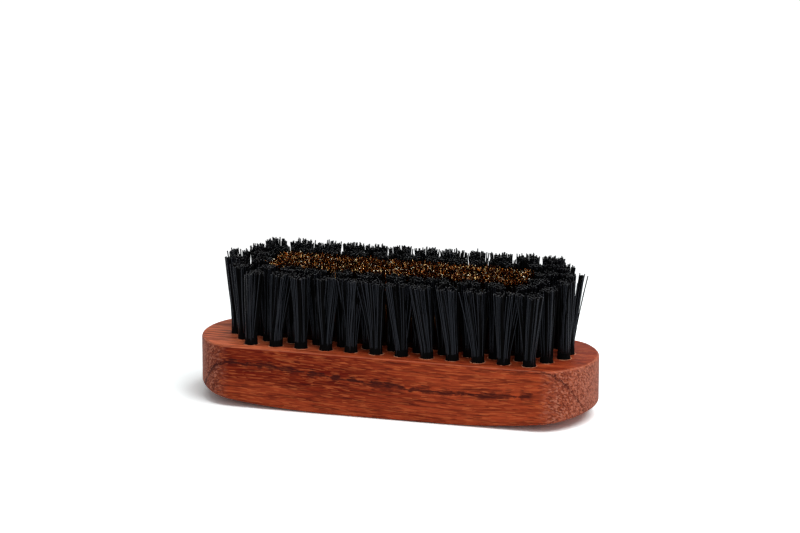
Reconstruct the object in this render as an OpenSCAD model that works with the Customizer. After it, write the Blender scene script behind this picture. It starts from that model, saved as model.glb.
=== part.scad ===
// Suede brush: a hardwood block filled with seventy-eight tufts in six rows.
// A border of nylon tufts, two deep, stands round a core of crimped brass wire.
// Each tuft is folded over a flat anchor and driven into its own blind hole.
// The origin is the middle of the footprint, on the plane the brush lies on.
// X runs along the block, Y across it, and the bristles stand up along Z.

/* [Block] */
// Length of the wooden block
block_l = 120; // [110:1:150]
// Width of the wooden block
block_w = 36; // [35:0.5:50]
// Thickness of the block at its middle
block_t = 18.4; // [16:0.2:26]
// How much the radius of each rounded end exceeds half the width
nose_extra = 3; // [1:0.5:6]
// Radius that blends each end into the long sides
corner_r = 11; // [8:0.5:14]
// Length of the flat stretch that the block lies on
rest_l = 30; // [10:1:60]
// Radius of the curve that lifts the underside at both ends
lift_r = 250; // [200:5:600]
// Rounding of the edge round the bristle side
top_edge_r = 0.8; // [0.4:0.1:2]
// Width of the bevel that eases the edge of the underside
under_bevel = 1.2; // [0.6:0.1:2.5]

/* [Tuft holes] */
// Diameter of each tuft hole
hole_d = 4; // [3.4:0.1:4.4]
// Depth of each tuft hole down to its drill point
hole_depth = 10.5; // [8:0.5:11.5]
// Angle of the drill point
drill_angle = 118; // [90:1:140]
// Width of the eased rim round each hole
hole_rim = 0.2; // [0.1:0.05:0.4]
// Distance from each end of the block to the middle of the nearest tuft
end_margin = 10.21; // [9.6:0.01:11]
// Distance from each long side of the block to the middle of the nearest row
side_margin = 5; // [4.6:0.1:5.4]
// Shift of the whole field of tufts along the block
field_shift = 0.8; // [-1:0.1:1]

/* [Tufts] */
// Play between a tuft and the wall of its hole
tuft_play = 0.1; // [0.05:0.01:0.2]
// Height of the tightly bound foot above the wood
foot_show = 1.2; // [0.4:0.1:2.5]
// Radius of the ring of strands where they leave the foot
ring_foot_r = 1.2; // [1:0.05:1.25]
// Radius of the ring of strands at its tips
ring_tip_r = 2; // [1.3:0.05:2.1]
// Size of a strand where it leaves the foot
strand_foot_r = 0.5; // [0.3:0.05:0.5]
// Size of a strand at its tip
strand_tip_r = 0.85; // [0.3:0.05:0.9]
// How far the tips lean outwards from the middle of the brush
tip_lean = 0.4; // [0.3:0.05:1]
// Length of the bristles above the wood in the front row
trim_front = 21.8; // [16:0.1:28]
// Length of the bristles above the wood in the back row
trim_back = 24.2; // [16:0.1:28]
// Unevenness of the trimmed tips
tip_uneven = 0.7; // [0:0.1:1.5]

/* [Anchors] */
// Length of the flat anchor wire in each hole
anchor_l = 4.6; // [4.5:0.1:5]
// Height of the anchor wire
anchor_h = 1.8; // [1.2:0.1:2.4]
// Thickness of the anchor wire
anchor_t = 0.35; // [0.25:0.05:0.5]
// Thickness of the folded bristles under the anchor
fold_t = 1.1; // [0.8:0.1:2]
// Play round the anchor in the wood and in the tuft
anchor_play = 0.04; // [0.02:0.01:0.08]

/* [Hidden] */
$fn = 64;

WOOD = [0.56, 0.25, 0.17];
NYLON = [0.06, 0.06, 0.07];
BRASS = [0.62, 0.4, 0.12];
ANCHOR_METAL = [0.72, 0.72, 0.7];

// Tufts in each row, from the front row to the back row
row_counts = [12, 13, 14, 14, 13, 12];
rows = len(row_counts);
// Nylon tufts at each end of a row that has brass in its middle
border_tufts = 2;
ring_strands = 5;
overlap = 1;
// Facets in a full turn of the plan's arcs and of its rounded upper edge
plan_facets = 40;
edge_facets = 16;

// Plan of the block: the end arc, centred on X, runs into a tighter corner arc
nose_r = block_w / 2 + nose_extra;
nose_x = block_l / 2 - nose_r;
corner_y = block_w / 2 - corner_r;
corner_x = nose_x + sqrt(pow(nose_r - corner_r, 2) - pow(corner_y, 2));
nose_half_angle = atan2(corner_y, corner_x - nose_x);
// Steps of the bevel round one quarter of the plan: degrees at the end, length at the side
bevel_turn = 7.5;
bevel_stride = corner_x / 8;

tuft_pitch = (block_l - 2 * end_margin) / (max(row_counts) - 1);
row_pitch = (block_w - 2 * side_margin) / (rows - 1);
hole_r = hole_d / 2;
tuft_r = hole_r - tuft_play;
hole_floor = block_t - hole_depth;
drill_tip = hole_r / tan(drill_angle / 2);
tuft_top = block_t + foot_show;
anchor_z = hole_floor + fold_t;

function row_y(row) = (row - (rows - 1) / 2) * row_pitch;
function tuft_x(row, i) = field_shift + (i - (row_counts[row] - 1) / 2) * tuft_pitch;
function last(row) = row_counts[row] - 1;
function side(y) = y < 0 ? -1 : 1;

// Bristle length grows evenly from the front row to the back row
function trim(row) = trim_front + (trim_back - trim_front) * row / (rows - 1);
function unevenness(seed) = tip_uneven * sin(137.5 * seed);

// Half of the block's section with its rounded upper edge, for a turned piece that reaches to r
module edge_profile(r) {
    translate([0, -overlap]) square([r, block_t + overlap - top_edge_r]);
    square([r - top_edge_r, block_t]);
    translate([r - top_edge_r, block_t - top_edge_r]) circle(top_edge_r, $fn = edge_facets);
}

// The block's plan with its rounded upper edge, before the underside is shaped
module plan_solid() {
    hull() for (end = [0, 1]) mirror([end, 0, 0]) {
        translate([nose_x, 0, 0]) rotate(-nose_half_angle)
            rotate_extrude(angle = 2 * nose_half_angle, $fn = plan_facets) edge_profile(nose_r);
        for (flank = [0, 1]) mirror([0, flank, 0])
            translate([corner_x, corner_y, 0])
                rotate_extrude($fn = plan_facets) edge_profile(corner_r);
    }
}

// Height of the underside: flat in the middle, lifted along an arc at each end
function lift(x) =
    let (run = max(abs(x) - rest_l / 2, 0))
    lift_r - sqrt(pow(lift_r, 2) - pow(run, 2));

// Everything above the underside
module above_underside() {
    rotate([90, 0, 0]) linear_extrude(block_w + 2 * overlap, center = true) {
        translate([-rest_l / 2, 0]) square([rest_l, block_t + overlap]);
        for (end = [0, 1]) mirror([end, 0]) intersection() {
            translate([rest_l / 2, lift_r]) circle(lift_r, $fn = 720);
            square([block_l / 2 + overlap, block_t + overlap]);
        }
    }
}

// A quarter of the plan's outline, set in by the given amount, from the end to the side
function quarter_plan(inset) = concat(
    [for (a = [0:bevel_turn:90])
        a < nose_half_angle
            ? [nose_x, 0] + (nose_r - inset) * [cos(a), sin(a)]
            : [corner_x, corner_y] + (corner_r - inset) * [cos(a), sin(a)]],
    [for (x = [corner_x - bevel_stride:-bevel_stride:bevel_stride / 2]) [x, block_w / 2 - inset]],
    [[0, block_w / 2 - inset]]
);

// The whole outline: one round of points from the right end, along the back and the front
function plan_round(inset) =
    let (
        quarter = quarter_plan(inset),
        half = concat(quarter, [for (i = [len(quarter) - 2:-1:0]) [-quarter[i].x, quarter[i].y]])
    )
    concat(half, [for (i = [len(half) - 2:-1:1]) [half[i].x, -half[i].y]]);

// Everything inside a bevel that follows the outline and the lift of the underside
module above_bevel() {
    outer = plan_round(-overlap);
    inner = plan_round(under_bevel + overlap);
    n = len(outer);
    points = concat(
        [for (p = outer) [p.x, p.y, block_t + overlap]],
        [for (p = outer) [p.x, p.y, lift(p.x) + under_bevel + overlap]],
        [for (p = inner) [p.x, p.y, lift(p.x) - overlap]]
    );
    underside = [for (face = cap(n)) [face[2] + 2 * n, face[1] + 2 * n, face[0] + 2 * n]];
    polyhedron(points, concat(cap(n), wall(n, 0), wall(n, n), underside));
}

// Triangles between a round of n points, numbered from first, and the next round below it
function wall(n, first) = [for (i = [0:n - 1]) each
    let (a = first + i, b = first + (i + 1) % n)
    [[a, b, b + n], [a, b + n, a + n]]];

// Triangles that close a round of n points whose back and front halves mirror each other
function cap(n) = concat(
    [for (i = [1:n / 2 - 1]) [i + 1, i, n - i]],
    [for (i = [0:n / 2 - 2]) [i + 1, (n - i) % n, n - i - 1]]
);

// One hole, cut from above: rim, wall and drill point, with the bite of its anchor
module tuft_hole() {
    translate([0, 0, hole_floor]) rotate_extrude()
        polygon([
            [0, -drill_tip],
            [hole_r, 0],
            [hole_r, hole_depth - hole_rim],
            [hole_r + hole_rim, hole_depth],
            [hole_r + hole_rim, hole_depth + overlap],
            [0, hole_depth + overlap]
        ]);
    anchor(anchor_play);
}

// Flat wire across the hole, with the given play all round it
module anchor(play = 0) {
    translate([0, 0, anchor_z + anchor_h / 2])
        cube([anchor_l + 2 * play, anchor_t + 2 * play, anchor_h + 2 * play], center = true);
}

// Corners of a three-sided strand at one height, with one corner facing outwards
function strand_ring(centre, r, turn, z) =
    [for (k = [0:2]) [centre.x + r * cos(turn + 120 * k), centre.y + r * sin(turn + 120 * k), z]];

// The strands of one tuft: one in the middle and a ring round it, all spreading upwards
module strands(row, i) {
    lean = side(row_y(row)) * tip_lean;
    seed = 14 * row + i;
    places = [for (s = [0:ring_strands]) s == 0 ? [0, 0] : [1, 360 * s / ring_strands + 24 * seed]];
    corners = [for (s = [0:ring_strands])
        let (
            away = places[s][0],
            turn = places[s][1],
            way = [cos(turn), sin(turn)],
            foot = away * ring_foot_r * way,
            tip = away * ring_tip_r * way + [0, lean],
            tip_z = block_t + trim(row) + unevenness(seed * (ring_strands + 1) + s)
        )
        each concat(
            strand_ring(foot, strand_foot_r, turn, tuft_top - overlap / 2),
            strand_ring(tip, strand_tip_r, turn, tip_z)
        )
    ];
    prism = [
        [0, 1, 2], [5, 4, 3],
        [0, 3, 4], [0, 4, 1],
        [1, 4, 5], [1, 5, 2],
        [2, 5, 3], [2, 3, 0]
    ];
    polyhedron(corners, [for (s = [0:ring_strands]) for (face = prism) [for (p = face) p + 6 * s]]);
}

// One tuft: the bound foot with its slot for the anchor, and the strands on it
module tuft(row, i) {
    translate([tuft_x(row, i), row_y(row), 0]) {
        difference() {
            translate([0, 0, hole_floor]) cylinder(h = tuft_top - hole_floor, r = tuft_r);
            anchor(anchor_play);
        }
        strands(row, i);
    }
}

module tufts(row, first, final) {
    for (i = [first:final]) tuft(row, i);
}

module anchors(row, first, final) {
    color(ANCHOR_METAL)
        for (i = [first:final]) translate([tuft_x(row, i), row_y(row), 0]) anchor();
}

module nylon(row, first, final) { color(NYLON) tufts(row, first, final); }
module brass(row) { color(BRASS) tufts(row, border_tufts, last(row) - border_tufts); }

module block() {
    color(WOOD) difference() {
        intersection() {
            plan_solid();
            above_underside();
            above_bevel();
        }
        for (row = [0:rows - 1]) for (i = [0:last(row)])
            translate([tuft_x(row, i), row_y(row), 0]) tuft_hole();
    }
}

block();

nylon(0, 0, last(0));  // nylon_row_1
nylon(1, 0, last(1));  // nylon_row_2
nylon(2, 0, border_tufts - 1);  // nylon_row_3_left
brass(2);  // brass_row_3
nylon(2, last(2) - border_tufts + 1, last(2));  // nylon_row_3_right
nylon(3, 0, border_tufts - 1);  // nylon_row_4_left
brass(3);  // brass_row_4
nylon(3, last(3) - border_tufts + 1, last(3));  // nylon_row_4_right
nylon(4, 0, last(4));  // nylon_row_5
nylon(5, 0, last(5));  // nylon_row_6

anchors(0, 0, last(0));  // anchors_row_1
anchors(1, 0, last(1));  // anchors_row_2
anchors(2, 0, border_tufts - 1);  // anchors_row_3_left
anchors(2, border_tufts, last(2) - border_tufts);  // anchors_row_3_middle
anchors(2, last(2) - border_tufts + 1, last(2));  // anchors_row_3_right
anchors(3, 0, border_tufts - 1);  // anchors_row_4_left
anchors(3, border_tufts, last(3) - border_tufts);  // anchors_row_4_middle
anchors(3, last(3) - border_tufts + 1, last(3));  // anchors_row_4_right
anchors(4, 0, last(4));  // anchors_row_5
anchors(5, 0, last(5));  // anchors_row_6
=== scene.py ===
"""Looks of a small suede brush: an oiled hardwood block, black nylon tufts and a crimped brass core."""

import math

import bmesh
import bpy
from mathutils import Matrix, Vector


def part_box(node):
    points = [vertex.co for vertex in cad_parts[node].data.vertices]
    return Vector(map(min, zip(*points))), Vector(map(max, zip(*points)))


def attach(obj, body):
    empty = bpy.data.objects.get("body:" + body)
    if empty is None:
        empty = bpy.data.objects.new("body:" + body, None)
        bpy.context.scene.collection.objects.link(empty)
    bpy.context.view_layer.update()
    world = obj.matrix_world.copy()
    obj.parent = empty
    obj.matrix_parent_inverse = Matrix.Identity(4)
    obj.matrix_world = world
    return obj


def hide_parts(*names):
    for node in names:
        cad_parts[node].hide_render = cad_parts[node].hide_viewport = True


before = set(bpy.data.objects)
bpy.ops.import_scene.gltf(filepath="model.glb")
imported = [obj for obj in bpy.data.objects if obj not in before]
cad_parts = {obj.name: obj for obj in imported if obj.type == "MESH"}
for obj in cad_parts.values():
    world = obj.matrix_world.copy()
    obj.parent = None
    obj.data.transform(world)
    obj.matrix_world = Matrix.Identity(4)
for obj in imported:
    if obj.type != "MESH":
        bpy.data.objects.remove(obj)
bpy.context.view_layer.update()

MM = 0.001

# The photograph's camera: its direction in degrees, its distance, its aim and its lens
CAMERA_AZIMUTH = 16.275
CAMERA_ELEVATION = 14.543
CAMERA_DISTANCE = 1029.27 * MM
CAMERA_AIM = Vector((0.42, 0, 41.54)) * MM
CAMERA_LENS = 158.32
CAMERA_SENSOR = 36
CAMERA_NEAR = 0.05

# The studio: every lamp's place and width in metres, and its power in watts
LAMPS = {
    "right": ((0.5, -0.15, 1.0), 0.8, 9.2),
    "top": ((-0.2, -0.1, 1.1), 0.6, 1.1),
    "front": ((0.5, -0.95, 0.5), 0.6, 1.2),
}
WORLD_LIGHT = 0.29
WHITE = (1, 1, 1, 1)
FLOOR_RADIUS = 6
FLOOR_SIDES = 64
# The floor's colour for the light that it gives back, and as the camera sees it close to the brush
FLOOR_COLOUR = (0.8, 0.8, 0.8, 1)
SEEN_FLOOR_COLOUR = (1.52, 1.6, 1.61, 1)
# How far out from the brush the floor shows shadow, before it turns into plain white
SHADOW_REACH = 0.1
PLAIN_WHITE = 1.02

# The wooden block
NOSE_RADIUS = 21 * MM
CORNER_RADIUS = 11 * MM
REST_LENGTH = 30 * MM
LIFT_RADIUS = 250 * MM
TOP_ROUNDING = 0.8 * MM
UNDER_EASING = 1.2 * MM
# How finely it is drawn: the degrees of a step round an end, and the steps of half a side and of an edge
OUTLINE_STEP = 3
SIDE_STEPS = 12
EASING_STEPS = 8
# An edge that turns by more degrees than this stays sharp, and a face that is as level as this stays flat
WOOD_SHARP_ANGLE = 35
LEVEL_FROM = 0.999

# The tuft holes
HOLE_RADIUS = 2 * MM
HOLE_RIM = 0.2 * MM
HOLE_SHOWN_DEPTH = 3 * MM
HOLE_SIDES = 32
# The lip of torn fibres round a hole: its greatest height above the wood, its greatest width and its sides
BURR_HEIGHT = 0.1 * MM
BURR_WIDTH = 0.32 * MM
BURR_SIDES = 24
# How deep the lip's outer edge lies in the wood, and the share of the width that it has everywhere
BURR_SINK = 0.2 * BURR_HEIGHT
BURR_LEAST = 0.3
# Two waves that tear the lip: the turn of each from one side to the next, and from one hole to the next
BURR_WAVES = ((2.3, 1.7), (1.1, 0.6))

# Bristle lengths above the wood in the front and back rows, and how much the front row falls and the
# back row rises to the right
TRIM_FRONT = 22.1 * MM
TRIM_BACK = 25.6 * MM
TRIM_FRONT_FALL = 0.010
TRIM_BACK_RISE = 0.006
# How far a tuft's tip leans out at the ends and along the sides, and how far it falls any other way
LEAN_END = 1.4 * MM
LEAN_SIDE = 1.3 * MM
TUFT_FALL = 0.6 * MM
# The turn of that fall from one tuft to the next, along the row and across it, and its share across it
FALL_TURN_ALONG = 5.1
FALL_TURN_ACROSS = 3.7
FALL_SHARE_ACROSS = 0.6
# How far the front row's tufts lean to the right at the left end, and the power by which that grows
# from the middle
FRONT_SWEEP = 3.0 * MM
FRONT_SWEEP_POWER = 0.7
# How far those near the middle lean to the left, and the middle and half width of that stretch
FRONT_DIP = 1.3 * MM
FRONT_DIP_MIDDLE = 13 * MM
FRONT_DIP_REACH = 30 * MM

# The growth rings of the block: their slope across it, and their wave along it in mm
RING_SLOPE = 1.5
RING_WAVE = 1.1
RING_WAVE_LENGTH = 140
RING_WAVE_START = -50

block_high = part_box("block")[1]
WOOD_TOP = block_high.z
LAST_ROW = sum(corner.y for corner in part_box("anchors_row_6")) / 2


def rgb(red, green, blue):
    """A colour as it is seen, from 0 to 255, turned into the linear values that a shader takes."""
    def linear(level):
        level /= 255
        return level / 12.92 if level <= 0.04045 else ((level + 0.055) / 1.055) ** 2.4

    return (linear(red), linear(green), linear(blue), 1)


class Sheet:
    """Adds nodes to one tree. A value given for a socket is either a number or another node's socket."""

    def __init__(self, tree):
        self.tree = tree

    def feed(self, socket, value):
        if isinstance(value, bpy.types.NodeSocket):
            self.tree.links.new(value, socket)
        else:
            socket.default_value = value

    def add(self, kind, feeds=None, **settings):
        node = self.tree.nodes.new(kind)
        for name, value in settings.items():
            setattr(node, name, value)
        for key, value in (feeds or {}).items():
            self.feed(node.inputs[key], value)
        return node

    def math(self, operation, *values, clamp=False):
        feeds = dict(enumerate(values))
        return self.add("ShaderNodeMath", feeds, operation=operation, use_clamp=clamp).outputs[0]

    def vector(self, operation, *values):
        node = self.add("ShaderNodeVectorMath", dict(enumerate(values)), operation=operation)
        return node.outputs["Vector"]

    def scaled(self, vector, factor):
        node = self.add("ShaderNodeVectorMath", {0: vector, "Scale": factor}, operation="SCALE")
        return node.outputs["Vector"]

    def length(self, vector):
        return self.add("ShaderNodeVectorMath", {0: vector}, operation="LENGTH").outputs["Value"]

    def combine(self, x=0.0, y=0.0, z=0.0):
        return self.add("ShaderNodeCombineXYZ", {"X": x, "Y": y, "Z": z}).outputs[0]


# Geometry of the bristles


class TuftTree(Sheet):
    """The Geometry Nodes tree that grows a tuft of strands on every point of its mesh."""

    SOCKETS = {
        "Strands": ("NodeSocketInt", 100),
        "Sides": ("NodeSocketInt", 5),
        "Segments": ("NodeSocketInt", 5),
        "Seed": ("NodeSocketInt", 1),
        "Strand radius": ("NodeSocketFloat", 0.15 * MM),
        "Foot radius": ("NodeSocketFloat", 1.7 * MM),
        "Tip radius": ("NodeSocketFloat", 2.9 * MM),
        "Sink": ("NodeSocketFloat", 1.0 * MM),
        "Bound height": ("NodeSocketFloat", 1.3 * MM),
        "Wander": ("NodeSocketFloat", 0.6 * MM),
        "Ragged": ("NodeSocketFloat", 0.4 * MM),
        "Bow": ("NodeSocketFloat", 0.2 * MM),
        "Bunches": ("NodeSocketFloat", 4.0),
        "Bunch lean": ("NodeSocketFloat", 1.0 * MM),
        "Tip detail": ("NodeSocketFloat", 1.0),
        "Crimp": ("NodeSocketFloat", 0.0),
        "Crimp length": ("NodeSocketFloat", 2.2 * MM),
        "Collar radius": ("NodeSocketFloat", 1.9 * MM),
        # The share of strands that get the painted shade finish, which also covers the feet of the tufts
        "Painted shade share": ("NodeSocketFloat", 0.4),
        "Bold share": ("NodeSocketFloat", 0.0),
        "Bold radius": ("NodeSocketFloat", 1.0),
        "Shiny finish": ("NodeSocketMaterial", None),
        "Painted shade finish": ("NodeSocketMaterial", None),
        "Cut finish": ("NodeSocketMaterial", None),
    }
    # What is added to the seed for each random choice
    SALTS = {
        "turn": 11,
        "stray way": 12,
        "stray far": 13,
        "drop": 14,
        "phase": 15,
        "bend": 16,
        "bunch far": 17,
        "bunch way": 18,
        "tone": 19,
        "second drop": 20,
    }
    GOLDEN_TURN = math.pi * (3 - math.sqrt(5))
    # How many numbers each tuft has for its bunches, and the least share of its lean that a bunch has
    BUNCH_NUMBERS = 16.0
    BUNCH_LEAST = 0.2
    # Strands stray further along their row than across it, and most of them only a little
    ALONG_ROW = (1.0, 0.55, 1.0)
    STRAY_POWER = 2.2
    STRAY_REACH = 3.0
    # How late the strands spread above their bound foot, and how soon their crimp is full
    SPREAD_POWER = 1.12
    CRIMP_POWER = 0.5
    CUT_FROM = 0.999
    COLLAR_SIDES = 28
    SHARP_ANGLE = 75
    # Attributes that nothing needs once the strands have grown
    HELPERS = ("foot", "tip", "phase", "bend", "tuft", "lean", "trim")

    def __init__(self, name):
        super().__init__(bpy.data.node_groups.new(name, "GeometryNodeTree"))
        face = self.tree.interface
        face.new_socket("Geometry", in_out="INPUT", socket_type="NodeSocketGeometry")
        face.new_socket("Geometry", in_out="OUTPUT", socket_type="NodeSocketGeometry")
        self.sockets = {}
        for label, (kind, default) in self.SOCKETS.items():
            socket = face.new_socket(label, in_out="INPUT", socket_type=kind)
            if default is not None:
                socket.default_value = default
            self.sockets[label] = socket.identifier
        self.given = self.add("NodeGroupInput").outputs
        self.build()

    def random(self, low, high, choice, owner=None):
        """A number per point, or per tuft or bunch where owner is its number."""
        seed = self.math("ADD", self.given["Seed"], self.SALTS[choice])
        feeds = {2: low, 3: high, "Seed": seed}
        if owner is not None:
            feeds["ID"] = owner
        return self.add("FunctionNodeRandomValue", feeds, data_type="FLOAT").outputs[1]

    def heading(self, angle):
        return self.combine(self.math("COSINE", angle), self.math("SINE", angle))

    def any_heading(self, choice, owner=None):
        return self.heading(self.random(0.0, math.tau, choice, owner))

    def keep(self, geometry, name, kind, value):
        feeds = {"Geometry": geometry, "Name": name, "Value": value}
        node = self.add("GeometryNodeStoreNamedAttribute", feeds, data_type=kind, domain="POINT")
        return node.outputs[0]

    def kept(self, name, kind):
        node = self.add("GeometryNodeInputNamedAttribute", {"Name": name}, data_type=kind)
        return node.outputs[0]

    def bunch_lean(self, turn, tuft):
        """How the strands of one sector of a tuft lean together."""
        sector = self.math("FRACT", self.math("DIVIDE", turn, math.tau))
        bunch = self.math("FLOOR", self.math("MULTIPLY", sector, self.given["Bunches"]))
        bunch = self.math("ADD", bunch, self.math("MULTIPLY", tuft, self.BUNCH_NUMBERS))
        far = self.random(self.BUNCH_LEAST, 1.0, "bunch far", bunch)
        far = self.math("MULTIPLY", far, self.given["Bunch lean"])
        lean = self.scaled(self.any_heading("bunch way", bunch), far)
        return self.vector("MULTIPLY", lean, self.ALONG_ROW)

    def stray(self):
        """How far each strand strays by itself."""
        way = self.any_heading("stray way")
        far = self.math("POWER", self.random(0.0, 1.0, "stray far"), self.STRAY_POWER)
        far = self.math("MULTIPLY", self.math("MULTIPLY", far, self.STRAY_REACH), self.given["Wander"])
        return self.vector("MULTIPLY", self.scaled(way, far), self.ALONG_ROW)

    def tip_height(self):
        """The trimmed height, less a ragged drop."""
        drop = self.math("ADD", self.random(0.0, 0.5, "drop"), self.random(0.0, 0.5, "second drop"))
        drop = self.math("MULTIPLY", drop, self.given["Ragged"])
        return self.math("SUBTRACT", self.kept("trim", "FLOAT"), drop)

    def strand_points(self):
        """One point per strand, which carries the places of its foot and its tip."""
        given = self.given
        points = self.add("GeometryNodeMeshToPoints", {"Mesh": given["Geometry"]}).outputs[0]
        points = self.keep(points, "tuft", "INT", self.add("GeometryNodeInputIndex").outputs[0])
        feeds = {"Geometry": points, "Amount": given["Strands"]}
        copies = self.add("GeometryNodeDuplicateElements", feeds, domain="POINT")
        number = copies.outputs["Duplicate Index"]
        tuft = self.kept("tuft", "INT")
        share = self.math("DIVIDE", self.math("ADD", number, 0.5), given["Strands"])
        spread = self.math("SQRT", share)
        turn = self.math("MULTIPLY", number, self.GOLDEN_TURN)
        turn = self.math("ADD", turn, self.random(0.0, math.tau, "turn", tuft))
        outwards = self.heading(turn)
        middle = self.add("GeometryNodeInputPosition").outputs[0]
        bunch_lean = self.bunch_lean(turn, tuft)

        foot_out = self.scaled(outwards, self.math("MULTIPLY", spread, given["Foot radius"]))
        foot = self.vector("ADD", middle, foot_out)
        foot = self.vector("SUBTRACT", foot, self.combine(z=given["Sink"]))
        tip_out = self.scaled(outwards, self.math("MULTIPLY", spread, given["Tip radius"]))
        tip = self.vector("ADD", middle, self.kept("lean", "FLOAT_VECTOR"))
        tip = self.vector("ADD", tip, tip_out)
        tip = self.vector("ADD", tip, self.vector("ADD", self.stray(), bunch_lean))
        tip = self.vector("ADD", tip, self.combine(z=self.tip_height()))

        made = self.keep(copies.outputs["Geometry"], "foot", "FLOAT_VECTOR", foot)
        made = self.keep(made, "tip", "FLOAT_VECTOR", tip)
        made = self.keep(made, "phase", "FLOAT", self.random(0.0, math.tau, "phase"))
        made = self.keep(made, "bend", "FLOAT_VECTOR", self.any_heading("bend"))
        return self.keep(made, "tone", "FLOAT", self.random(0.0, 1.0, "tone"))

    def strand_place(self, along):
        """Where a strand runs: straight in the bound foot, then spreading, bowed and crimped to its tip."""
        given = self.given
        foot, tip = self.kept("foot", "FLOAT_VECTOR"), self.kept("tip", "FLOAT_VECTOR")
        reach = self.vector("SUBTRACT", tip, foot)
        length = self.length(reach)
        bound = self.math("DIVIDE", self.math("ADD", given["Bound height"], given["Sink"]), length)
        past = self.math("SUBTRACT", along, bound)
        free = self.math("DIVIDE", past, self.math("SUBTRACT", 1.0, bound), clamp=True)
        spreading = self.math("POWER", free, self.SPREAD_POWER)
        place = self.vector("MULTIPLY", reach, self.combine(spreading, spreading, along))
        place = self.vector("ADD", foot, place)

        bend = self.kept("bend", "FLOAT_VECTOR")
        arch = self.math("SINE", self.math("MULTIPLY", free, math.pi))
        place = self.vector("ADD", place, self.scaled(bend, self.math("MULTIPLY", arch, given["Bow"])))
        wave = self.math("MULTIPLY", self.math("DIVIDE", length, given["Crimp length"]), math.tau)
        wave = self.math("ADD", self.math("MULTIPLY", wave, along), self.kept("phase", "FLOAT"))
        zigzag = self.math("MULTIPLY", self.math("SINE", wave), given["Crimp"])
        zigzag = self.math("MULTIPLY", zigzag, self.math("POWER", free, self.CRIMP_POWER))
        across = self.vector("CROSS_PRODUCT", bend, (0.0, 0.0, 1.0))
        return self.vector("ADD", place, self.scaled(across, zigzag))

    def strands(self):
        """Every strand as a thin tube with its finish."""
        given = self.given
        line = self.add("GeometryNodeCurvePrimitiveLine").outputs[0]
        rungs = self.math("ADD", given["Segments"], 1)
        line = self.add("GeometryNodeResampleCurve", {"Curve": line, "Count": rungs}).outputs[0]
        feeds = {"Points": self.strand_points(), "Instance": line}
        placed = self.add("GeometryNodeInstanceOnPoints", feeds).outputs[0]
        curves = self.add("GeometryNodeRealizeInstances", {"Geometry": placed}).outputs[0]

        along = self.add("GeometryNodeSplineParameter").outputs["Factor"]
        along = self.math("POWER", self.math("SUBTRACT", 1.0, along), given["Tip detail"])
        along = self.math("SUBTRACT", 1.0, along)
        place = self.strand_place(along)
        curves = self.keep(curves, "along", "FLOAT", along)
        curves = self.add("GeometryNodeSetPosition", {"Geometry": curves, "Position": place}).outputs[0]

        tone = self.kept("tone", "FLOAT")
        bold = self.math("GREATER_THAN", tone, self.math("SUBTRACT", 1.0, given["Bold share"]))
        bold = self.math("MULTIPLY", bold, self.math("SUBTRACT", given["Bold radius"], 1.0))
        thick = self.math("ADD", bold, 1.0)
        curves = self.add("GeometryNodeSetCurveRadius", {"Curve": curves, "Radius": thick}).outputs[0]
        feeds = {"Resolution": given["Sides"], "Radius": given["Strand radius"]}
        rim = self.add("GeometryNodeCurvePrimitiveCircle", feeds).outputs[0]
        feeds = {"Curve": curves, "Profile Curve": rim, "Scale": thick, "Fill Caps": True}
        tubes = self.add("GeometryNodeCurveToMesh", feeds).outputs[0]

        shiny = self.finished(tubes, given["Shiny finish"])
        # Painted shade: a share of the strands, chosen at random by tone, gets the dark dull finish
        shaded = self.math("LESS_THAN", tone, given["Painted shade share"])
        duller = self.refinished(shiny, shaded, given["Painted shade finish"])
        cut = self.math("GREATER_THAN", self.kept("along", "FLOAT"), self.CUT_FROM)
        return self.refinished(duller, cut, given["Cut finish"])

    def painted_shade_collars(self):
        """Painted shade: a dark drum round the bound foot of every tuft, where its strands are pressed
        together.
        """
        given = self.given
        tall = self.math("ADD", given["Bound height"], given["Sink"])
        feeds = {
            "Vertices": self.COLLAR_SIDES,
            "Side Segments": 1,
            "Radius": given["Collar radius"],
            "Depth": tall,
        }
        drum = self.add("GeometryNodeMeshCylinder", feeds).outputs["Mesh"]
        lift = self.math("SUBTRACT", self.math("DIVIDE", tall, 2.0), given["Sink"])
        feeds = {"Geometry": drum, "Translation": self.combine(z=lift)}
        drum = self.add("GeometryNodeTransform", feeds).outputs[0]
        feeds = {"Points": given["Geometry"], "Instance": drum}
        placed = self.add("GeometryNodeInstanceOnPoints", feeds).outputs[0]
        return self.finished(placed, given["Painted shade finish"])

    def finished(self, geometry, material):
        real = self.add("GeometryNodeRealizeInstances", {"Geometry": geometry}).outputs[0]
        return self.add("GeometryNodeSetMaterial", {"Geometry": real, "Material": material}).outputs[0]

    def refinished(self, geometry, chosen, material):
        feeds = {"Geometry": geometry, "Selection": chosen, "Material": material}
        return self.add("GeometryNodeSetMaterial", feeds).outputs[0]

    def build(self):
        joined = self.add("GeometryNodeJoinGeometry")
        self.tree.links.new(self.strands(), joined.inputs[0])
        self.tree.links.new(self.painted_shade_collars(), joined.inputs[0])
        real = self.add("GeometryNodeRealizeInstances", {"Geometry": joined.outputs[0]}).outputs[0]
        self.tree.links.new(real, self.add("NodeGroupOutput").inputs[0])


def tuft_feet(anchors):
    """Where the tufts of a row stand: each anchor wire lies across the middle of its own hole."""
    low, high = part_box(anchors)
    middle = (low.y + high.y) / 2
    ends = sorted({round(v.co.x / MM, 2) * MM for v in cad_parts[anchors].data.vertices})
    return [Vector(((left + right) / 2, middle, WOOD_TOP)) for left, right in zip(ends[::2], ends[1::2])]


def trim_at(foot):
    """Length of the bristles above the wood, longer towards the back."""
    depth = 0.5 + foot.y / (2 * LAST_ROW)
    tilt = TRIM_BACK_RISE * depth - TRIM_FRONT_FALL * (1 - depth)
    return TRIM_FRONT + (TRIM_BACK - TRIM_FRONT) * depth + tilt * foot.x


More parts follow.
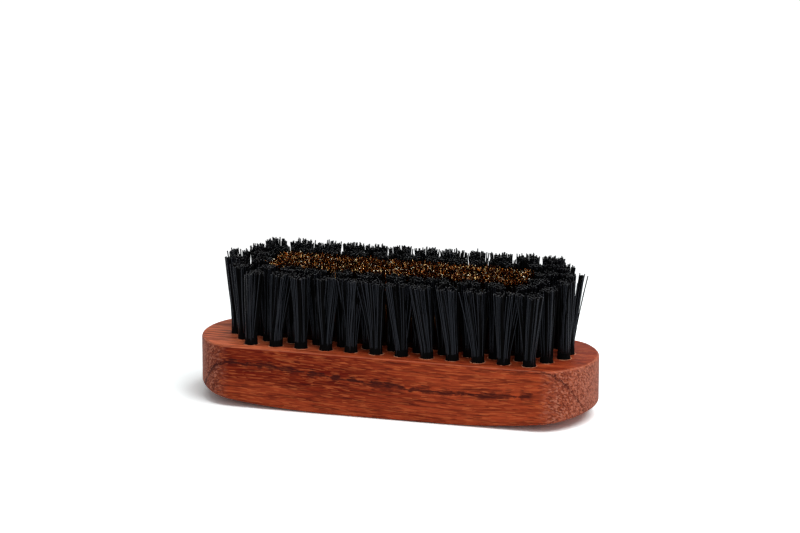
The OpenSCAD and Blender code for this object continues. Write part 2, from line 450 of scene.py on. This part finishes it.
def lean_at(foot, number, node, seed):
    """How far a whole tuft's tip leans away from upright."""
    side = foot.y / block_high.y
    end = foot.x / block_high.x
    fall_along = math.sin(FALL_TURN_ALONG * number + seed)
    fall_across = FALL_SHARE_ACROSS * math.cos(FALL_TURN_ACROSS * number + 2 * seed)
    fall = TUFT_FALL * Vector((fall_along, fall_across, 0))
    lean = Vector((LEAN_END * end**3, LEAN_SIDE * side, 0)) + fall
    if node == "nylon_row_1":
        off = min(abs(foot.x - FRONT_DIP_MIDDLE) / FRONT_DIP_REACH, 1)
        dip = FRONT_DIP * math.cos(off * math.pi / 2)
        lean.x += FRONT_SWEEP * max(-end, 0) ** FRONT_SWEEP_POWER - dip
    return lean


def planted(name, anchors, node, seed):
    """One point per tuft of a row, which carries the tuft's lean and its trimmed length."""
    feet = tuft_feet(anchors)
    mesh = bpy.data.meshes.new(name + "_feet")
    mesh.from_pydata([tuple(foot) for foot in feet], [], [])
    mesh.attributes.new("lean", "FLOAT_VECTOR", "POINT")
    mesh.attributes.new("trim", "FLOAT", "POINT")
    for number, foot in enumerate(feet):
        mesh.attributes["lean"].data[number].vector = lean_at(foot, number, node, seed)
        mesh.attributes["trim"].data[number].value = trim_at(foot)
    points = bpy.data.objects.new(name + "_feet", mesh)
    bpy.context.scene.collection.objects.link(points)
    return points


def evaluated_mesh(thing):
    """The object's mesh as its modifiers make it."""
    bpy.context.view_layer.update()
    depsgraph = bpy.context.evaluated_depsgraph_get()
    return bpy.data.meshes.new_from_object(thing.evaluated_get(depsgraph))


def grow(name, anchors, tree, node, seed, sizes):
    """One piece of bristles: a point per tuft, the tree's strands on them, and then a plain mesh."""
    points = planted(name, anchors, node, seed)
    modifier = points.modifiers.new("tufts", "NODES")
    modifier.node_group = tree.tree
    for label, value in {"Seed": seed, **sizes}.items():
        modifier[tree.sockets[label]] = value
    grown = evaluated_mesh(points)
    bpy.data.objects.remove(points)
    grown.name = name
    for attribute in tree.HELPERS:
        if attribute in grown.attributes:
            grown.attributes.remove(grown.attributes[attribute])
    grown.polygons.foreach_set("use_smooth", [True] * len(grown.polygons))
    grown.set_sharp_from_angle(angle=math.radians(tree.SHARP_ANGLE))
    piece = bpy.data.objects.new(name, grown)
    bpy.context.scene.collection.objects.link(piece)
    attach(piece, "root")
    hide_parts(node)


# Geometry of the block


def underside(x):
    """Height of the underside: flat in the middle and lifted along an arc at both ends."""
    run = max(abs(x) - REST_LENGTH / 2, 0)
    return LIFT_RADIUS - math.sqrt(LIFT_RADIUS**2 - run**2)


def quarter_outline(inset):
    """A quarter of the block's outline, set in by inset, from the right end to the middle of the back."""
    nose_x = block_high.x - NOSE_RADIUS
    corner_y = block_high.y - CORNER_RADIUS
    corner_x = nose_x + math.sqrt((NOSE_RADIUS - CORNER_RADIUS) ** 2 - corner_y**2)
    meeting = math.atan2(corner_y, corner_x - nose_x)
    points = []
    for step in range(0, 90 // OUTLINE_STEP + 1):
        angle = math.radians(step * OUTLINE_STEP)
        x, y, radius = (nose_x, 0, NOSE_RADIUS) if angle < meeting else (corner_x, corner_y, CORNER_RADIUS)
        reach = radius - inset
        points.append((x + reach * math.cos(angle), y + reach * math.sin(angle)))
    for step in range(1, SIDE_STEPS + 1):
        points.append((corner_x * (1 - step / SIDE_STEPS), block_high.y - inset))
    return points


def outline(inset):
    """The whole outline, one closed round of points."""
    quarter = quarter_outline(inset)
    half = quarter + [(-x, y) for x, y in reversed(quarter[:-1])]
    return half + [(x, -y) for x, y in reversed(half[1:-1])]


def block_levels():
    """From the bottom up, how far each round of the block is set in and its height at a place along X."""
    turns = [math.pi / 2 * step / EASING_STEPS for step in range(EASING_STEPS + 1)]
    for turn in turns:
        rise = UNDER_EASING * (1 - math.cos(turn))
        yield UNDER_EASING * (1 - math.sin(turn)), lambda x, rise=rise: underside(x) + rise
    for turn in turns:
        drop = TOP_ROUNDING * (1 - math.sin(turn))
        yield TOP_ROUNDING * (1 - math.cos(turn)), lambda x, drop=drop: WOOD_TOP - drop


def add_band(shape, lower, upper):
    """The faces between two rounds of vertices."""
    for side in range(len(lower)):
        after = (side + 1) % len(lower)
        shape.faces.new((lower[side], lower[after], upper[after], upper[side]))


def add_ring(shape, foot, spots):
    """A ring of vertices round a tuft's foot, with a radius and a height for each of them."""
    ring = []
    for side, (radius, z) in enumerate(spots):
        angle = math.tau * side / len(spots)
        spot = (foot.x + radius * math.cos(angle), foot.y + radius * math.sin(angle), z)
        ring.append(shape.verts.new(spot))
    return ring


def block_mesh():
    """The block as a loft of its outline: eased underside, sides, and rounded upper edge.

    The underside and the top are closed by strips that run from the front to the back.
    """
    shape = bmesh.new()
    rounds = []
    for inset, height in block_levels():
        rounds.append([shape.verts.new((x, y, height(x))) for x, y in outline(inset)])
    for lower, upper in zip(rounds, rounds[1:]):
        add_band(shape, lower, upper)
    count = len(rounds[0])
    for ring in (rounds[0], rounds[-1]):
        for back in range(count // 2):
            front = (count - back) % count
            corners = [ring[back], ring[back + 1], ring[front - 1], ring[front]]
            shape.faces.new(list(dict.fromkeys(corners)))
    bmesh.ops.recalc_face_normals(shape, faces=shape.faces)
    mesh = bpy.data.meshes.new("wood_block")
    shape.to_mesh(mesh)
    shape.free()
    return mesh


def hole_cutters(feet):
    """A turned cutter for every tuft hole, with the eased rim of the hole."""
    profile = [
        (HOLE_RADIUS, WOOD_TOP - HOLE_SHOWN_DEPTH),
        (HOLE_RADIUS, WOOD_TOP - HOLE_RIM),
        (HOLE_RADIUS + 2 * HOLE_RIM, WOOD_TOP + HOLE_RIM),
    ]
    shape = bmesh.new()
    for foot in feet:
        rounds = [add_ring(shape, foot, [spot] * HOLE_SIDES) for spot in profile]
        for lower, upper in zip(rounds, rounds[1:]):
            add_band(shape, lower, upper)
        shape.faces.new(list(reversed(rounds[0])))
        shape.faces.new(rounds[-1])
    mesh = bpy.data.meshes.new("hole_cutters")
    shape.to_mesh(mesh)
    shape.free()
    return mesh


def torn_at(side, number):
    """How far the fibres stand up at one side of a hole, from 0 to 1."""
    first, second = (math.sin(turn * side + shift * number) for turn, shift in BURR_WAVES)
    return 0.5 + 0.5 * first * second


def add_burrs(mesh, feet):
    """A low ragged lip round every hole, marked so that the wood is laid pale there, as torn fibres and as
    a painted highlight on the rim.
    """
    shape = bmesh.new()
    shape.from_mesh(mesh)
    mark = shape.verts.layers.float.new("burr")
    inner = HOLE_RADIUS + HOLE_RIM
    for number, foot in enumerate(feet):
        root, hem, crest = [], [], []
        for side in range(BURR_SIDES):
            torn = torn_at(side, number)
            width = BURR_WIDTH * (BURR_LEAST + (1 - BURR_LEAST) * torn)
            root.append((inner, WOOD_TOP - BURR_HEIGHT))
            hem.append((inner + width, WOOD_TOP - BURR_SINK))
            crest.append((inner, WOOD_TOP + BURR_HEIGHT * torn))
        rounds = [add_ring(shape, foot, spots) for spots in (root, hem, crest)]
        for vertex in sum(rounds, []):
            vertex[mark] = 1
        for first, second in ((0, 1), (1, 2), (2, 0)):
            add_band(shape, rounds[first], rounds[second])
    shape.to_mesh(mesh)
    shape.free()


def make_block(material, feet):
    """The drilled block with the lips of its holes, as one plain mesh."""
    block = bpy.data.objects.new("wood_block", block_mesh())
    cutters = bpy.data.objects.new("hole_cutters", hole_cutters(feet))
    for made in (block, cutters):
        bpy.context.scene.collection.objects.link(made)
    drilled = block.modifiers.new("holes", "BOOLEAN")
    drilled.operation = "DIFFERENCE"
    drilled.solver = "EXACT"
    drilled.object = cutters
    mesh = evaluated_mesh(block)
    bpy.data.objects.remove(cutters)
    block.modifiers.clear()
    block.data = mesh
    mesh.name = "wood_block"
    add_burrs(mesh, feet)
    mesh.materials.clear()
    mesh.materials.append(material)
    mesh.polygons.foreach_set("use_smooth", [face.normal.z < LEVEL_FROM for face in mesh.polygons])
    mesh.set_sharp_from_angle(angle=math.radians(WOOD_SHARP_ANGLE))
    return block


# Materials


def new_material(name):
    """A material with an empty node tree."""
    material = bpy.data.materials.new(name)
    material.use_nodes = True
    material.node_tree.nodes.clear()
    return material


class Finish(Sheet):
    """A material built round one principled shader."""

    def __init__(self, name, **values):
        self.material = new_material(name)
        super().__init__(self.material.node_tree)
        self.shader = self.add("ShaderNodeBsdfPrincipled")
        for label, value in values.items():
            self.set(label.capitalize(), value)
        self.add("ShaderNodeOutputMaterial", {"Surface": self.shader.outputs[0]})

    def set(self, label, value):
        self.feed(self.shader.inputs[label], value)

    def place(self):
        return self.add("ShaderNodeTexCoord").outputs["Object"]

    def facing(self, axis):
        """How far the surface faces along an axis of the object."""
        normal = self.add("ShaderNodeTexCoord").outputs["Normal"]
        return self.add("ShaderNodeSeparateXYZ", {"Vector": normal}).outputs[axis]

    def attribute(self, name):
        return self.add("ShaderNodeAttribute", attribute_name=name).outputs["Fac"]

    def noise(self, vector, scale=1.0, detail=2.0, roughness=0.5):
        feeds = {"Vector": vector, "Scale": scale, "Detail": detail, "Roughness": roughness}
        return self.add("ShaderNodeTexNoise", feeds).outputs["Fac"]

    def cells(self, vector):
        """A random level in each cell of the pattern."""
        colour = self.add("ShaderNodeTexVoronoi", {"Vector": vector, "Scale": 1.0}).outputs["Color"]
        return self.add("ShaderNodeSeparateColor", {"Color": colour}).outputs[0]

    def ramp(self, factor, low, high):
        """How far the factor has come from low, which gives 0, to high, which gives 1."""
        feeds = {"Value": factor, "From Min": low, "From Max": high}
        return self.add("ShaderNodeMapRange", feeds).outputs[0]

    def mix(self, factor, first, second):
        """The first colour where the factor is 0, and the second where it is 1."""
        feeds = {0: factor, 6: first, 7: second}
        return self.add("ShaderNodeMix", feeds, data_type="RGBA").outputs[2]


def nylon_finish():
    """Black filaments with a cold sheen, some of them a little paler."""
    black = rgb(1, 1, 2)
    charcoal = rgb(12, 13, 16)
    cold_sheen = (0.66, 0.74, 0.9, 1)
    finish = Finish("nylon", roughness=0.26)
    grain = finish.noise(finish.place(), scale=900)
    shade = finish.math("MULTIPLY", finish.attribute("tone"), grain)
    finish.set("Base Color", finish.mix(shade, black, charcoal))
    finish.set("Specular IOR Level", 0.5)
    finish.set("Specular Tint", cold_sheen)
    return finish.material


def painted_shade_nylon_finish():
    """Painted shade: a dark dull copy of the nylon, which gives back hardly any light, for a share of the
    filaments and for the bound feet of the nylon tufts.
    """
    black = rgb(0, 0, 0)
    dust = rgb(7, 7, 8)
    finish = Finish("matt_nylon", roughness=0.8)
    speckle = finish.noise(finish.place(), scale=2500)
    finish.set("Base Color", finish.mix(speckle, black, dust))
    finish.set("Specular IOR Level", 0.06)
    return finish.material


def cut_nylon_finish():
    """The cut ends of the strands, some of them paler where the light shines through."""
    dark_end = rgb(3, 3, 4)
    pale_end = rgb(74, 76, 78)
    finish = Finish("cut_nylon", roughness=0.6)
    pale = finish.ramp(finish.attribute("tone"), 0.5, 1.0)
    finish.set("Base Color", finish.mix(pale, dark_end, pale_end))
    finish.set("Specular IOR Level", 0.3)
    return finish.material


def brass_finish():
    """Crimped wire, tarnished in random specks, with painted shade that darkens it towards its foot and
    painted glints near its tips.
    """
    tarnished = rgb(22, 7, 0)
    amber = rgb(170, 74, 2)
    painted_glint = rgb(255, 232, 160)
    painted_low_shade = rgb(38, 15, 2)
    finish = Finish("brass_wire", metallic=1.0, roughness=0.2)
    tarnish = finish.noise(finish.place(), scale=5000, roughness=0.6)
    colour = finish.mix(finish.ramp(tarnish, 0.46, 0.56), tarnished, amber)
    # Painted glints: bright specks, seen mostly near the tips
    glint = finish.math("ADD", tarnish, finish.math("MULTIPLY", finish.attribute("tone"), 0.06))
    colour = finish.mix(finish.ramp(glint, 0.63, 0.65), colour, painted_glint)
    # Painted shade: the wire darkens towards its foot
    high = finish.ramp(finish.attribute("along"), 0.35, 0.9)
    finish.set("Base Color", finish.mix(high, painted_low_shade, colour))
    return finish.material


def cut_brass_finish():
    """The cut ends of the wires, from dark to amber, with a few painted glints."""
    dark_end = rgb(50, 19, 2)
    amber_end = rgb(206, 108, 16)
    painted_glint_end = rgb(255, 246, 216)
    finish = Finish("cut_brass", metallic=1.0, roughness=0.3)
    tone = finish.attribute("tone")
    colour = finish.mix(finish.ramp(tone, 0.45, 0.7), dark_end, amber_end)
    # Painted glints on a few cut ends
    finish.set("Base Color", finish.mix(finish.ramp(tone, 0.93, 0.94), colour, painted_glint_end))
    return finish.material


def painted_shade_brass_finish():
    """Painted shade: a dark dull copy of the brass wire for a share of the wires and for the bound feet of
    the brass tufts.
    """
    brown = rgb(8, 3, 0)
    dull_brass = rgb(48, 19, 2)
    finish = Finish("matt_brass", metallic=1.0, roughness=0.6)
    speckle = finish.noise(finish.place(), scale=2500)
    finish.set("Base Color", finish.mix(speckle, brown, dull_brass))
    return finish.material


def anchor_finish():
    """Plain flat wire with fine scratches."""
    dull_steel = rgb(150, 150, 148)
    clean_steel = rgb(190, 190, 186)
    finish = Finish("anchor_wire", metallic=1.0, roughness=0.4)
    scratch = finish.noise(finish.place(), scale=4000)
    finish.set("Base Color", finish.mix(scratch, dull_steel, clean_steel))
    return finish.material


class WoodFinish(Finish):
    """Red-brown hardwood whose grain runs along X, with sloping growth rings and two dark figure lines.

    The grain, the ends, the torn fibres and the painted light, reflections and highlights are laid over one
    another as layers, each with a colour of its own.
    Places in the wood are in mm: x along the block, and then along and across its growth rings.
    """

    DEEP_RED = rgb(110, 23, 7)
    LIGHT_RED = rgb(178, 72, 39)
    PAINTED_TOP_LIGHT = rgb(250, 134, 90)
    STREAK = rgb(72, 15, 8)
    VEIN = rgb(104, 30, 12)
    FIBRE = rgb(204, 90, 44)
    END_GRAIN = rgb(140, 76, 60)
    NOSE_REFLECTION = rgb(176, 120, 104)
    LEFT_NOSE_REFLECTION = rgb(198, 152, 138)
    PALE_PORE = rgb(214, 110, 62)
    DARK_PORE = rgb(80, 18, 10)
    PALE_MOTTLE = rgb(206, 130, 104)
    DARK_MOTTLE = rgb(76, 25, 16)
    PAINTED_EDGE_HIGHLIGHT = rgb(214, 128, 96)
    TORN_FIBRE_AND_RIM_HIGHLIGHT = rgb(232, 164, 128)
    FIGURE_LINE = rgb(58, 15, 13)

    # Painted light on the body: how much lighter each mm to the right makes it, with what the higher rings
    # add and what the upper face takes off, and how much lighter the painted light makes the upper face as
    # a whole
    PAINTED_LIGHT_TO_RIGHT = 0.001
    PAINTED_LIGHT_HIGH_RINGS = 0.005
    PAINTED_LIGHT_OFF_TOP = 0.0076
    PAINTED_LIGHT_ON_TOP = 0.06
    HIGH_RINGS_START = -13.5
    HIGH_RINGS_FULL = -6.5
    # Where the painted light on the upper face starts and is full, towards the left end
    PAINTED_TOP_LIGHT_START = -12
    PAINTED_TOP_LIGHT_FULL = -46
    # The height at which the painted edge highlight starts and is full, and the slope that gets most of it
    EDGE_HIGHLIGHT_START = 17
    EDGE_HIGHLIGHT_FULL = 18
    EDGE_HIGHLIGHT_SLOPE = 0.72
    # A figure line: how far fibres pull it about, the share of that pull outside its patches, its least
    # half width, the stretch in which it ends, its strength, and what is added to that between the fibres
    LINE_PULL = 3.0
    PULL_LEAST = 0.3
    LINE_LEAST = 0.25
    LINE_FADE = 5
    LINE_STRENGTH = 0.82
    LINE_FEATHER = 0.15

    def __init__(self):
        super().__init__("wood")
        axes = self.add("ShaderNodeSeparateXYZ", {"Vector": self.scaled(self.place(), 1 / MM)}).outputs
        self.x, self.y, self.z = axes["X"], axes["Y"], axes["Z"]
        self.tangent, self.ring = self.growth_rings()
        sideways = self.math("ABSOLUTE", self.facing("X"))
        self.end_grain = self.ramp(sideways, 0.06, 0.5)
        self.nose = self.ramp(sideways, 0.75, 1.0)
        self.upper_face = self.ramp(self.facing("Z"), 0.6, 0.95)
        self.streak = self.noise(self.grain(0.06, 1.0, 2.2, shift=7.0), detail=4.0, roughness=0.65)
        self.fibre = self.noise(self.grain(0.14, 4.4, 5.2, shift=2.0), detail=2.0, roughness=0.6)
        mottle = self.cells(self.grain(0.9, 1.9, 3.2))
        self.pale_mottle = self.math("MULTIPLY", self.ramp(mottle, 0.6, 0.9), self.end_grain)
        self.dark_mottle = self.math("MULTIPLY", self.ramp(mottle, 0.4, 0.1), self.end_grain)

        self.colour = self.body()
        self.lay_streaks()
        self.lay_ends()
        self.lay_pores()
        self.lay_edge_highlight_and_torn_fibres()
        self.lay_figure_line(-8.5, width=0.56, gap=0.46, start=-62, full=-57, end=49, waver=1.6, shift=3.0)
        self.lay_figure_line(-4.4, width=0.04, gap=0.4, start=12, full=50, end=62, waver=0.9, shift=19.0)
        self.set("Base Color", self.colour)
        self.set_surface()

    def growth_rings(self):
        """The places along and across the growth rings, which slope across the block and wave along it."""
        steep = math.hypot(1, RING_SLOPE)
        turn = self.math("SUBTRACT", self.x, RING_WAVE_START)
        turn = self.math("MULTIPLY", turn, math.tau / RING_WAVE_LENGTH)
        wave = self.math("MULTIPLY", self.math("COSINE", turn), RING_WAVE)
        along = self.math("SUBTRACT", self.y, self.math("MULTIPLY", self.z, RING_SLOPE))
        across = self.math("ADD", self.z, self.math("MULTIPLY", self.y, RING_SLOPE))
        across = self.math("DIVIDE", across, steep)
        return self.math("DIVIDE", along, steep), self.math("SUBTRACT", across, wave)

    def grain(self, lengthwise, along_ring, across_ring, shift=0.0):
        """The place in the grain, with each direction stretched for a pattern, where less is longer."""
        x = self.math("ADD", self.math("MULTIPLY", self.x, lengthwise), shift)
        y = self.math("MULTIPLY", self.tangent, along_ring)
        return self.combine(x, y, self.math("MULTIPLY", self.ring, across_ring))

    def lay(self, layer, strength, colour):
        """Lays a colour over what is there, wherever the layer is and as strongly as given."""
        self.colour = self.mix(self.math("MULTIPLY", layer, strength), self.colour, colour)

    def body(self):
        """Broad bands between a deep and a light red-brown, with painted light that lightens them towards
        the right on the sides, towards the left on the upper face, and on the upper face as a whole.
        """
        broad = self.noise(self.grain(0.018, 0.05, 0.5), detail=3.0, roughness=0.6)
        # Painted light: lighter towards the right on the sides, towards the left on the upper face, and on
        # the upper face as a whole
        high_rings = self.ramp(self.ring, self.HIGH_RINGS_START, self.HIGH_RINGS_FULL)
        painted_light = self.math("MULTIPLY", high_rings, self.PAINTED_LIGHT_HIGH_RINGS)
        painted_light = self.math("ADD", painted_light, self.PAINTED_LIGHT_TO_RIGHT)
        painted_light = self.math("SUBTRACT", painted_light, self.math("MULTIPLY", self.upper_face, self.PAINTED_LIGHT_OFF_TOP))
        broad = self.math("ADD", broad, self.math("MULTIPLY", self.x, painted_light))
        broad = self.math("ADD", broad, self.math("MULTIPLY", self.upper_face, self.PAINTED_LIGHT_ON_TOP))
        return self.mix(self.ramp(broad, 0.36, 0.64), self.DEEP_RED, self.LIGHT_RED)

    def lay_streaks(self):
        """Painted light on the left part of the upper face, dark streaks everywhere, and veins on the upper
        face.
        """
        # Painted light: the left part of the upper face is laid lighter
        painted_top_light = self.ramp(self.x, self.PAINTED_TOP_LIGHT_START, self.PAINTED_TOP_LIGHT_FULL)
        painted_top_light = self.math("MULTIPLY", painted_top_light, self.upper_face)
        self.lay(painted_top_light, 0.95, self.PAINTED_TOP_LIGHT)
        self.lay(self.ramp(self.streak, 0.52, 0.34), 0.85, self.STREAK)
        vein = self.noise(self.grain(0.05, 0.45, 0.6, shift=31.0), detail=3.0, roughness=0.6)
        vein = self.math("MULTIPLY", self.ramp(vein, 0.48, 0.58), self.upper_face)
        self.lay(vein, 0.75, self.VEIN)

    def lay_ends(self):
        """Greyer end grain, a painted glancing reflection on both noses that is palest on the left one, and
        light fibres all over the wood.
        """
        self.lay(self.end_grain, 0.75, self.END_GRAIN)
        # Painted reflection: a pale glancing sheen where the ends face along X
        self.lay(self.nose, 0.5, self.NOSE_REFLECTION)
        self.lay(self.ramp(self.fibre, 0.48, 0.7), 0.5, self.FIBRE)
        # Painted reflection, stronger on the left nose
        self.lay(self.ramp(self.facing("X"), -0.75, -1.0), 0.6, self.LEFT_NOSE_REFLECTION)

    def lay_pores(self):
        """Long pale and dark pores, and shorter ones that mottle the end grain."""
        pores = self.cells(self.grain(0.38, 3.4, 5.2))
        self.lay(self.ramp(pores, 0.72, 0.95), 0.5, self.PALE_PORE)
        self.lay(self.ramp(pores, 0.32, 0.05), 0.5, self.DARK_PORE)
        self.lay(self.pale_mottle, 0.6, self.PALE_MOTTLE)
        self.lay(self.dark_mottle, 0.56, self.DARK_MOTTLE)

    def lay_edge_highlight_and_torn_fibres(self):
        """A painted highlight along the rounded upper edge, and pale torn fibres round the holes, which
        also stand in for a highlight on the hole rims.
        """
        # Painted highlight: the rounded upper edge is laid lighter where it slopes at about 45 degrees
        edge_highlight = self.math("ABSOLUTE", self.math("SUBTRACT", self.facing("Z"), self.EDGE_HIGHLIGHT_SLOPE))
        high = self.ramp(self.z, self.EDGE_HIGHLIGHT_START, self.EDGE_HIGHLIGHT_FULL)
        self.lay(self.math("MULTIPLY", self.ramp(edge_highlight, 0.24, 0.08), high), 0.3, self.PAINTED_EDGE_HIGHLIGHT)
        # Torn fibres, painted pale, which also stand in for a highlight on the hole rims
        chipped = self.ramp(self.noise(self.place(), scale=500), 0.42, 0.56)
        self.lay(self.math("MULTIPLY", self.attribute("burr"), chipped), 0.8, self.TORN_FIBRE_AND_RIM_HIGHLIGHT)

    def lay_figure_line(self, level, width, gap, start, full, end, waver, shift):
        """A dark ragged line along one growth ring, thinner between its patches."""
        jag = self.noise(self.grain(0.3, 0.5, 0.7, shift), detail=3.0, roughness=0.7)
        jag = self.math("MULTIPLY", self.math("SUBTRACT", jag, 0.5), waver)
        patch = self.noise(self.grain(0.2, 0.1, 0.0, shift), detail=1.0)
        patch = self.ramp(patch, gap, gap + 0.12)
        pull = self.math("MULTIPLY", self.math("SUBTRACT", self.fibre, 0.5), self.LINE_PULL)
        pulled = self.math("MULTIPLY", patch, 1 - self.PULL_LEAST)
        pulled = self.math("ADD", pulled, self.PULL_LEAST)
        jag = self.math("ADD", jag, self.math("MULTIPLY", pull, pulled))

        off = self.math("ABSOLUTE", self.math("SUBTRACT", self.math("ADD", self.ring, jag), level))
        reach = self.math("ADD", self.math("MULTIPLY", patch, width), self.LINE_LEAST)
        line = self.math("SUBTRACT", 1.0, self.math("DIVIDE", off, reach), clamp=True)
        ending = self.ramp(self.x, end, end - self.LINE_FADE)
        line = self.math("MULTIPLY", self.ramp(line, 0.0, 0.6), ending)
        line = self.math("MULTIPLY", line, self.ramp(self.x, start, full))
        feather = self.math("MULTIPLY", self.ramp(self.fibre, 0.62, 0.38), self.LINE_FEATHER)
        self.lay(line, self.math("ADD", feather, self.LINE_STRENGTH), self.FIGURE_LINE)

    def set_surface(self):
        """An oiled surface, a little rougher in the pale grain, and pitted in the end grain."""
        self.set("Specular IOR Level", 0.07)
        self.set("Roughness", self.math("ADD", self.math("MULTIPLY", self.streak, 0.2), 0.46))
        relief = self.math("SUBTRACT", self.streak, self.math("MULTIPLY", self.dark_mottle, 0.4))
        bump = self.add("ShaderNodeBump", {"Height": relief, "Strength": 0.25, "Distance": 0.05 * MM})
        self.set("Normal", bump.outputs[0])


# Stage


def make_floor():
    """A white floor that shows its shadow only near the brush."""
    mesh = bpy.data.meshes.new("floor")
    shape = bmesh.new()
    bmesh.ops.create_circle(shape, cap_ends=True, segments=FLOOR_SIDES, radius=FLOOR_RADIUS)
    shape.to_mesh(mesh)
    shape.free()
    floor = bpy.data.objects.new("floor", mesh)
    bpy.context.scene.collection.objects.link(floor)
    material = new_material("floor")
    sheet = Sheet(material.node_tree)
    pale = sheet.add("ShaderNodeBsdfDiffuse", {"Color": FLOOR_COLOUR})
    near = sheet.add("ShaderNodeBsdfDiffuse", {"Color": SEEN_FLOOR_COLOUR})
    far = sheet.add("ShaderNodeEmission", {"Strength": PLAIN_WHITE})
    away = sheet.length(sheet.add("ShaderNodeTexCoord").outputs["Object"])
    feeds = {"Value": away, "From Min": SHADOW_REACH, "From Max": 2 * SHADOW_REACH}
    away = sheet.add("ShaderNodeMapRange", feeds).outputs[0]
    white = sheet.add("ShaderNodeMixShader", {0: away, 1: near.outputs[0], 2: far.outputs[0]})
    seen = sheet.add("ShaderNodeLightPath").outputs["Is Camera Ray"]
    both = sheet.add("ShaderNodeMixShader", {0: seen, 1: pale.outputs[0], 2: white.outputs[0]})
    sheet.add("ShaderNodeOutputMaterial", {"Surface": both.outputs[0]})
    mesh.materials.append(material)


def make_world():
    """A dim even light, which looks white where it is seen or mirrored."""
    world = bpy.data.worlds.new("studio")
    bpy.context.scene.world = world
    world.use_nodes = True
    world.node_tree.nodes.clear()
    sheet = Sheet(world.node_tree)
    path = sheet.add("ShaderNodeLightPath").outputs
    seen = sheet.math("MAXIMUM", path["Is Camera Ray"], path["Is Glossy Ray"])
    seen = sheet.math("MAXIMUM", seen, path["Is Transmission Ray"])
    dim = sheet.add("ShaderNodeBackground", {"Color": WHITE, "Strength": WORLD_LIGHT})
    white = sheet.add("ShaderNodeBackground", {"Color": WHITE, "Strength": 1.0})
    both = sheet.add("ShaderNodeMixShader", {0: seen, 1: dim.outputs[0], 2: white.outputs[0]})
    sheet.add("ShaderNodeOutputWorld", {"Surface": both.outputs[0]})


def make_lamp(name, place, width, watts):
    """A square lamp that faces the brush."""
    light = bpy.data.lights.new(name, "AREA")
    light.shape = "SQUARE"
    light.size = width
    light.energy = watts
    lamp = bpy.data.objects.new(name, light)
    lamp.location = place
    lamp.rotation_mode = "QUATERNION"
    lamp.rotation_quaternion = (-Vector(place)).to_track_quat("-Z", "Y")
    bpy.context.scene.collection.objects.link(lamp)


def make_camera():
    """The photograph's view, from the front and a little from the right and above."""
    camera = bpy.data.cameras.new("camera")
    camera.lens = CAMERA_LENS
    camera.sensor_width = CAMERA_SENSOR
    camera.clip_start = CAMERA_NEAR
    seat = bpy.data.objects.new("camera", camera)
    azimuth = math.radians(CAMERA_AZIMUTH)
    elevation = math.radians(CAMERA_ELEVATION)
    level = math.cos(elevation)
    back = Vector((math.sin(azimuth) * level, -math.cos(azimuth) * level, math.sin(elevation)))
    seat.location = CAMERA_AIM + back * CAMERA_DISTANCE
    seat.rotation_mode = "QUATERNION"
    seat.rotation_quaternion = (-back).to_track_quat("-Z", "Y")
    bpy.context.scene.collection.objects.link(seat)
    bpy.context.scene.camera = seat


make_camera()
make_floor()
make_world()
for name, (place, width, watts) in LAMPS.items():
    make_lamp(name, place, width, watts)
bpy.context.scene.view_settings.view_transform = "Standard"

# The brush, row by row

nylon = nylon_finish()
matt_nylon = painted_shade_nylon_finish()
brass = brass_finish()
matt_brass = painted_shade_brass_finish()
cut_nylon = cut_nylon_finish()
cut_brass = cut_brass_finish()
anchor_metal = anchor_finish()
tufts = TuftTree("tufts")

# The rows of bristles from the front to the back, each with the anchor wires under it
ROWS = {
    "nylon_row_1": "anchors_row_1",
    "nylon_row_2": "anchors_row_2",
    "nylon_row_3_left": "anchors_row_3_left",
    "brass_row_3": "anchors_row_3_middle",
    "nylon_row_3_right": "anchors_row_3_right",
    "nylon_row_4_left": "anchors_row_4_left",
    "brass_row_4": "anchors_row_4_middle",
    "nylon_row_4_right": "anchors_row_4_right",
    "nylon_row_5": "anchors_row_5",
    "nylon_row_6": "anchors_row_6",
}
NYLON_SIZES = {
    "Strands": 74,
    "Sides": 6,
    "Strand radius": 0.18 * MM,
    "Foot radius": 1.72 * MM,
    "Tip radius": 2.9 * MM,
    "Bound height": 1.9 * MM,
    "Wander": 0.4 * MM,
    "Ragged": 1.3 * MM,
    "Bunches": 5.0,
    "Bunch lean": 1.6 * MM,
    "Painted shade share": 0.38,
    "Shiny finish": nylon,
    "Painted shade finish": matt_nylon,
    "Cut finish": cut_nylon,
}
FRONT_SIZES = {**NYLON_SIZES, "Strands": 82, "Bunch lean": 2.1 * MM, "Painted shade share": 0.28}
BACK_SIZES = {**NYLON_SIZES, "Tip radius": 3.4 * MM, "Bunch lean": 1.0 * MM}
OWN_SIZES = {"nylon_row_1": FRONT_SIZES, "nylon_row_5": BACK_SIZES, "nylon_row_6": BACK_SIZES}
BRASS_SIZES = {
    "Strands": 260,
    "Sides": 3,
    "Segments": 12,
    "Strand radius": 0.08 * MM,
    "Tip radius": 4.3 * MM,
    "Wander": 0.7 * MM,
    "Ragged": 1.5 * MM,
    "Crimp": 0.3 * MM,
    "Bunch lean": 0.4 * MM,
    "Tip detail": 2.2,
    "Painted shade share": 0.48,
    "Bold share": 0.06,
    "Bold radius": 1.8,
    "Shiny finish": brass,
    "Painted shade finish": matt_brass,
    "Cut finish": cut_brass,
}

all_feet = []
for number, (node, anchors) in enumerate(ROWS.items(), start=1):
    is_brass = node.startswith("brass")
    sizes = BRASS_SIZES if is_brass else OWN_SIZES.get(node, NYLON_SIZES)
    name = node.replace("_row_", "_bristles_row_")
    grow(name, anchors, tufts, node, number, sizes)
    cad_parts[anchors].data.materials.clear()
    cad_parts[anchors].data.materials.append(anchor_metal)
    all_feet += tuft_feet(anchors)

block = make_block(WoodFinish().material, all_feet)
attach(block, "root")
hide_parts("block")
